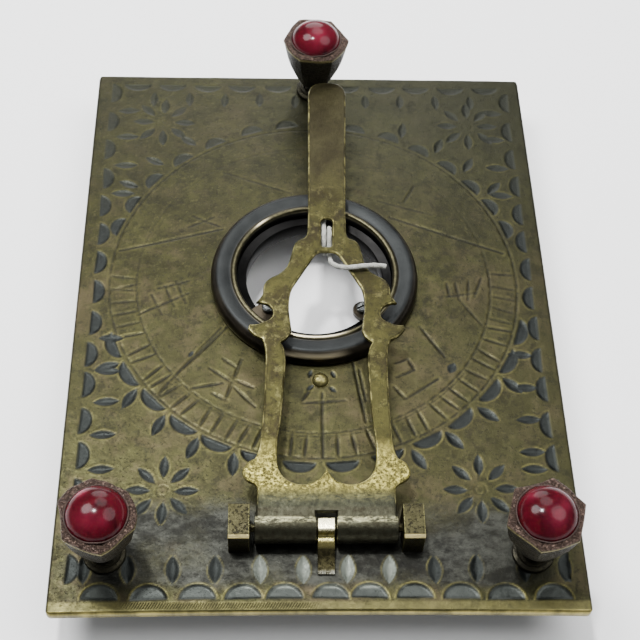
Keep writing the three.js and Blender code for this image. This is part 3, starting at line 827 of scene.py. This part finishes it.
def add_ring():
    points, faces = turned(RING_PROFILE, 160)
    x, y, z = points.T
    radius = np.hypot(x, y)
    band = smoothstep((16.0 - radius) / .5) * smoothstep((radius - 13.2) / .3)
    crest = bell(radius, 12.8, .14) + .9 * bell(radius, 16.3, .3)
    # Painted highlight: the crests at the front and at a spot at the back left take a bright colour.
    front = smoothstep((-y - 8) / 2.5) * smoothstep((6.2 - np.abs(x + .5)) / 3.5)
    left_back = bell(x, -8.6, 1.1) * bell(y, 9.6, 1.1)
    marks = {
        "band": band * smoothstep((z - 2.2) / .2),
        "lip": smoothstep((13.35 - radius) / .2) * smoothstep((z - 2.05) / .3),
        "glint": np.clip(crest * (z > 1.8) * (front + left_back), 0, 1),
        # The inner wall takes painted shade.
        "inside": radius < 12.41,
    }
    points = points + (0, DIAL_Y, 0)
    piece("compass_bezel", points, faces, BRONZE, "plate", "compass_ring", 50, marks)


def add_stud():
    dome = [(1.3 * math.sin(a), .95 * math.cos(a)) for a in np.radians(np.arange(85, 0, -8.5))]
    profile = [(0, -1.8), (.55, -1.8), (.6, -1.7), (.6, .1), (1.32, .1), *dome, (0, .95)]
    points, faces = turned(profile, 40)
    points += STUD_PLACE
    piece("noon_stud_dome", points, faces, STUD_BRASS, "plate", "noon_stud", 50)


# ---- gnomon

def quadratic(start, control, end, steps=10):
    t = np.arange(1, steps + 1)[:, None] / steps
    start, control, end = (np.array(p, float) for p in (start, control, end))
    return ((1 - t) ** 2 * start + 2 * t * (1 - t) * control + t * t * end).tolist()


def traced(start, moves):
    """A half outline from lines (x, v) and curves (control x, v, end x, v), mirrored whole."""
    line = [list(start)]
    for move in moves:
        if len(move) == 2:
            middle = [(a + b) / 2 for a, b in zip(line[-1], move)]
            line += quadratic(line[-1], middle, move, max(1, round(math.dist(line[-1], move) / .8)))
        else:
            line += quadratic(line[-1], move[:2], move[2:])
    return line + [[-x, v] for x, v in reversed(line) if abs(x) > 1e-6]


TIP = 82.0
# Right halves of the leaf's outline and of its lyre opening: across, and along from the pin.
OUTLINE = [
    (9.85, 0), (9.75, 5.0), (9.9, 5.8, 10.9, 6.1), (12.1, 6.8, 11.9, 8.0), (11.5, 9.4, 10.3, 9.8),
    (9.8, 10.6, 9.6, 12.0), (9.2, 17.0, 9.15, 22.0), (9.1, 26.5), (9.2, 28.8, 9.7, 30.0),
    (11.2, 30.5, 11.9, 31.9), (11.7, 32.6), (10.4, 32.5, 9.6, 33.1), (8.1, 33.6, 8.2, 34.9),
    (8.4, 36.4, 10.8, 36.6), (10.1, 37.6, 9.85, 38.2), (9.8, 39.3), (9.6, 40.8, 8.2, 41.5),
    (6.3, 42.5, 5.9, 44.2), (5.6, 45.5, 5.35, 46.6), (5.1, 48.4, 3.9, 48.7), (3.1, 48.9, 3.05, 50.5),
    (3.0, 54.0), (3.2, TIP - 3.2), (3.2, TIP - .9, 1.9, TIP - .3), (1.1, TIP, 0, TIP),
]
OPENING = [
    (.9, 5.9, 3.3, 5.75), (6.4, 5.9, 7.0, 8.9), (7.3, 11.5, 6.8, 14.5), (6.3, 20.0, 6.1, 26.0),
    (6.2, 28.6, 6.9, 29.4), (5.6, 30.2, 5.3, 31.6), (5.5, 33.0, 5.75, 35.0), (5.9, 38.2, 5.2, 39.6),
    (2.2, 45.0), (1.6, 46.1, .8, 46.15), (0, 46.15),
]
SHEET_LOW, SHEET_HIGH, CHAMFER = 1.25, 2.15, .3
HALF_GAP = 1.45
BARREL = 2.2


def sheet_with_holes(loops):
    """A flat sheet with chamfered edges from closed (x, v) loops, the first outside."""
    levels = (
        (SHEET_LOW, CHAMFER), (SHEET_LOW + CHAMFER, 0), (SHEET_HIGH - CHAMFER, 0),
        (SHEET_HIGH - CHAMFER * .4, CHAMFER * .3), (SHEET_HIGH, CHAMFER),
    )
    solid = bmesh.new()
    stacks = []
    for number, loop in enumerate(loops):
        line = np.array(loop)
        ahead, behind = np.roll(line, -1, 0) - line, line - np.roll(line, 1, 0)
        ahead /= np.linalg.norm(ahead, axis=1)[:, None]
        behind /= np.linalg.norm(behind, axis=1)[:, None]
        across = ahead + behind
        across /= np.linalg.norm(across, axis=1)[:, None] + 1e-9
        inward = np.stack([-across[:, 1], across[:, 0]], 1)
        area = np.sum(line[:, 0] * np.roll(line[:, 1], -1) - np.roll(line[:, 0], -1) * line[:, 1])
        inward *= math.copysign(1, area) * (1 if number == 0 else -1)
        stacks.append([[solid.verts.new((*p, high)) for p in line + inward * inset] for high, inset in levels])
        for face in skinned(stacks[-1]):
            solid.faces.new(face)
    for level, height in ((0, SHEET_LOW), (-1, SHEET_HIGH)):
        ends = [pair for s in stacks for pair in zip(s[level], s[level][1:] + s[level][:1])]
        bmesh.ops.triangle_fill(solid, use_beauty=True, edges=[solid.edges.get(pair) for pair in ends])

        def level_faces():
            return [f for f in solid.faces if all(abs(v.co.z - height) < 1e-4 for v in f.verts)]

        def inner_edges():
            faces = set(level_faces())
            edges = {e for f in faces for e in f.edges}
            return [e for e in edges if all(g in faces for g in e.link_faces)]

        # Long spans of the top are split till it is fine enough to carry its dents and pits.
        for longest in (6, 3, 1.6, .9, .6) if level else ():
            long = [e for e in inner_edges() if e.calc_length() > longest]
            bmesh.ops.subdivide_edges(solid, edges=long, cuts=1)
            bmesh.ops.triangulate(solid, faces=level_faces())
            bmesh.ops.beautify_fill(solid, faces=level_faces(), edges=inner_edges())
    solid.verts.index_update()
    result = np.array([v.co[:] for v in solid.verts]), [[v.index for v in f.verts] for f in solid.faces]
    solid.free()
    return result


def knuckle(start, end):
    """One rolled knuckle along X, with a bore, rounded ends and the seam of the roll below."""
    across = [(PIN_RADIUS + .1, 0), (BARREL - .18, 0), (BARREL - .05, .05), (BARREL, .18)]
    profile = [(r, start + e) for r, e in across] + [(r, end - e) for r, e in reversed(across)]
    points, faces = turned(profile, 64)
    x, y, z = points.T
    flat = 1 - .09 * bell(np.arctan2(y, -x), -2.2, .1) * (np.hypot(x, y) > 1.5)
    return np.stack([z, y * flat, -x * flat], 1), faces


def add_gnomon():
    slot_low, slot_high, half = 47.15, 52.8, .95
    slot = [[half * math.cos(a), slot_high - half + half * math.sin(a)] for a in np.linspace(0, math.pi, 19)]
    corners = [[half - .35, slot_low], [half - .1, slot_low + .25]]
    slot += [[-x, v] for x, v in reversed(corners)] + corners
    outline = traced((HALF_GAP, 0), OUTLINE) + [[-HALF_GAP, 1.5], [HALF_GAP, 1.5]]
    sheet = sheet_with_holes([outline, traced((0, 8.3), OPENING), slot])
    points, faces = joined(sheet, knuckle(HALF_GAP, 10.0), knuckle(-10.0, -HALF_GAP))
    x, v, h = points.T
    # Marks the top chamfers, whose colour is partly wear and partly painted highlight.
    edge = (h > SHEET_HIGH - .32) & (h < SHEET_HIGH - .05) & (v > 2.6)
    # Old sheet is never flat: the legs and the finger rise and fall a few hundredths.
    h += .06 * np.sin(v / 6.1) * smoothstep((v - 8) / 10)
    face = (h > SHEET_HIGH - .1) & (v > 2.4)
    pitted = .015 + .05 * smoothstep((14 - v) / 5)
    h += face * (.07 * (cloud(x, v - 40, 3.1, 21) - .5) + pitted * (cloud(x, v - 40, .9, 22) - .5))
    # The knuckles and the roll stay square to the pin, and the leaf beyond them leans.
    x -= np.where(v > 2.6, 0, LEAN * v)
    points, material = on_gnomon(points), gnomon_leaf_brass()
    piece("gnomon_leaf", points, faces, material, "gnomon", "gnomon_frame", 28, {"edge": edge})


# ---- hinge

def rounded(y, z, radius, start, end, steps=8):
    turns = np.radians(np.linspace(start, end, steps))
    return [(y + radius * math.cos(a), z + radius * math.sin(a)) for a in turns]


def add_hinge():
    width, gap = 2.95, 10.7
    lug = [(2.65, .1), (2.65, 4.85), (2.5, 5.0), *rounded(-1.9, 4.4, .6, 90, 180), (-2.5, .1)]
    rivet = [(1.4, -1.8), (1.5, -1.7), (1.5, .2), (-1.5, .2), (-1.5, -1.7), (-1.4, -1.8)]
    points, faces = joined(slab_x(lug, width), slab_x(rivet, 2.6))
    for side, sign in (("left", -1), ("right", 1)):
        name, place = f"hinge_lug_{side}", (PIN_X + sign * (gap + width / 2), PIN_Y, 0)
        piece(f"{name}_block", points + place, faces, HINGE_BRASS, "plate", name, bevel=.14)
    strap = [
        (.95, .1), (.95, 3.75), *rounded(.7, 3.8, .25, 0, 90, 5), *rounded(-.75, 3.8, .25, 90, 170, 5),
        (-1.06, 2.5), *rounded(-1.5, 2.05, .22, 60, 110, 3),
        *quadratic((-1.6, 2.27), (-2.0, 2.25), (-2.4, 1.9), 4),
        *quadratic((-2.4, 1.9), (-3.6, .85), (-6.0, .3), 8), (-6.0, .1),
    ]
    points, faces = slab_x(strap, 2.4)
    points += (PIN_X, PIN_Y, 0)
    node = "hinge_centre_strap"
    piece("hinge_strap", points, faces, STRAP_BRASS, "plate", node, 50, bevel=.1)


# ---- feet

# How rough each cup is and how sharply its corners are filed.
CUPS = {"left": (1.5, .55), "right": (.8, .9), "back": (.8, .6)}
# Light gathered inside each stone: across, along, spread and strength.
GLOWS = {
    "left": ((-2.2, 2.6, .8, .7), (-1.0, -1.6, 1.6, .22), (1.2, -2.0, .8, .2)),
    "right": ((.8, -1.6, 1.5, .3), (2.1, .4, .9, .25), (-2.2, 1.8, .7, .3)),
    "back": ((.4, -1.4, 1.6, .35), (-1.9, 2.2, .8, .35)),
}
CUP_PROFILE = [
    (2.3, 2.8), (2.45, 2.95), (2.6, 3.2), (2.9, 3.75), (3.25, 4.35), (3.6, 5.1), (4.0, 5.95), (4.4, 6.8),
    (4.75, 7.7), (5.02, 8.7), (5.25, 9.8), (5.42, 10.7), (5.55, 11.3), (5.68, 11.65), (5.7, 11.9),
    (5.66, 12.08), (5.5, 12.2), (5.2, 12.24), (4.85, 12.22), (4.5, 12.2), (4.36, 12.12), (4.3, 11.95),
    (4.3, 10.42), (4.2, 10.4), (0, 10.4),
]
DOME = [(4.15 * math.cos(a), 11.9 + 2.9 * math.sin(a)) for a in np.radians(np.arange(0, 88, 4))]
GEM_PROFILE = [(0, 11.1), (3.9, 11.1), (4.1, 11.4), *DOME, (0, 14.8)]
CEMENT_PROFILE = [
    (0, 10.5), (4.1, 10.5), (4.24, 10.7), (4.26, 12.0), (4.34, 12.3), (4.3, 12.42), (4.2, 12.45),
    (4.12, 12.36), (4.08, 12.1), (4.02, 11.6), (3.8, 11.05), (0, 11.05),
]
COLLAR_PROFILE = [
    (1.75, -2.1), (2.15, -2.1), (2.3, -1.95), (2.3, .1), (2.9, .1), (3.0, .2), (3.0, .5), (2.9, .62),
    (2.5, .72), (2.4, .8), (2.4, 1.02), (2.3, 1.13), (1.85, 1.15), (1.75, 1.08),
]


def shank_profile():
    """A threaded shank from the flat tip up to the neck."""
    line = [(0, -8.6), (1.0, -8.6), (1.12, -8.5), (1.3, -8.1)]
    z, pitch = -7.9, .75
    while z < 2.3:
        line += [(1.42, z), (1.6, z + .26 * pitch), (1.6, z + .42 * pitch), (1.42, z + .68 * pitch)]
        z += pitch
    return line + [(1.5, 2.7), (1.65, 2.8)]


def hexed(points, rough, filed, seed):
    """Turns the round cup to six slightly uneven flats above its neck."""
    x, y, z = points.T
    radius, angle = np.hypot(x, y), np.arctan2(y, x)
    share = np.clip((z - 3.8) / 5, 0, 1) * ((radius > 4.4) | (z < 9.5))
    flat = math.cos(math.pi / 6) / np.cos(np.mod(angle + 2 * math.pi, math.pi / 3) - math.pi / 6)
    scale = 1 + share * ((1 - filed) * .94 + filed * flat - 1)
    wobble = sum(a * np.sin(k * angle + seed * k) for k, a in ((2, -.01), (3, .014), (5, .008)))
    scale *= 1 + rough * share * wobble * 2.0
    lip = rough * .1 * np.sin(9 * angle + seed) * np.sin(4 * angle)
    return np.stack([x * scale, y * scale, z + (z > 12.0) * lip], 1)


def add_foot(number, side, x, y, turn):
    def part(name, node, points, faces, material, body, slot, sharp, marks=None):
        name, node = f"{side}_foot_{name}", f"{side}_foot_{node}"
        piece(name, points + (x, y, 0), faces, material, body, node, sharp, marks)

    rough, filed = CUPS[side]
    points, faces = turned(shank_profile() + CUP_PROFILE, 96, lambda p: hexed(p, rough, filed, number + 1))
    px, py, z = points.T
    radius = np.hypot(px, py)
    marks = {
        "rim": smoothstep((z - 11.98) / .12) * (radius > 3.5),
        # Painted highlight along the outer edge below the rim.
        "edge": bell(z, 11.75, .16) * (radius > 4.6),
    }
    c, s = math.cos(math.radians(turn)), math.sin(math.radians(turn))
    spun = np.stack([px * c - py * s, px * s + py * c, z], 1)
    part("cup", "screw", spun, faces, CUP_BRASS, f"{side}_screw", "foot_brass", 40, marks)

    points, faces = turned(GEM_PROFILE, 72)
    px, py, z = points.T
    glow = sum(a * bell(px, u, w) * bell(py, v, w) for u, v, w, a in GLOWS[side])
    # The skirt takes painted shade and the glow painted light.
    marks = {"skirt": smoothstep((12.25 - z) / .5), "glow": np.clip(glow, 0, 1) * (z > 12)}
    part("cabochon", "gem", points, faces, RUBY, f"{side}_setting", "ruby_glass", 60, marks)

    points, faces = turned(CEMENT_PROFILE, 72)
    px, py, z = points.T
    angle = np.arctan2(py, px)
    z += (z > 12.05) * .12 * np.sin(7 * angle + number) * np.sin(3 * angle + 2 * number)
    part("cement_bead", "cement", points, faces, CEMENT, f"{side}_setting", "setting_cement", 50)

    part("collar", "bush", *turned(COLLAR_PROFILE, 64), COLLAR_BRASS, "plate", "foot_brass", 35)


# ---- carried-over nodes, floor and light

def finish_nodes():
    """The CAD pieces whose own shape is right take a finish and softened edges."""
    finishes = {
        "ring_ear_left": (BRONZE, .16), "ring_ear_right": (BRONZE, .16),
        "ring_ear_screw_left": (STEEL, .1), "ring_ear_screw_right": (STEEL, .1),
        "hinge_pin": (HINGE_BRASS, .08),
    }
    for name, (material, width) in finishes.items():
        node = NODES[name]
        node.data.materials.clear()
        node.data.materials.append(material)
        soften(node, width)


def add_floor():
    f = Finish("floor_pale")
    shader = f.put("BsdfPrincipled", {"Base Color": (.93, .93, .93, 1), "Roughness": .8})
    f.put("OutputMaterial", {"Surface": shader})
    far = 3.0
    mesh = bpy.data.meshes.new("floor")
    mesh.from_pydata([(-far, -far, 0), (far, -far, 0), (far, far, 0), (-far, far, 0)], [], [(0, 1, 2, 3)])
    mesh.materials.append(f.material)
    floor = linked("floor", mesh)


def add_lamp(name, place, size, power):
    """A round lamp that looks at the dial."""
    data = bpy.data.lights.new(name, "AREA")
    data.shape, data.size, data.energy = "DISK", size, power
    lamp = linked(name, data)
    lamp.location = place
    lamp.rotation_euler = (Vector((0, 0, .01)) - Vector(place)).to_track_quat("-Z", "Y").to_euler()


def add_light():
    world = bpy.data.worlds.new("studio")
    bpy.context.scene.world = world
    world.use_nodes = True
    sky = world.node_tree.nodes["Background"].inputs
    sky["Color"].default_value, sky["Strength"].default_value = (.95, .97, 1.0, 1), .32
    add_lamp("key", (-.3, .17, .56), .3, 4.6)
    add_lamp("back", (.06, .42, .58), .36, 1.9)
    add_lamp("fill", (.32, .02, .5), .42, 2.7)
    add_lamp("rim", (-.02, .52, .24), .32, 1.7)
    add_lamp("spark", (-.09, .08, .54), .06, 3.2)


add_camera()
add_string()
add_plate()
add_ring()
add_stud()
add_gnomon()
add_hinge()
for count, (foot, spot) in enumerate(FEET.items()):
    add_foot(count, foot, *spot)
finish_nodes()
add_floor()
add_light()
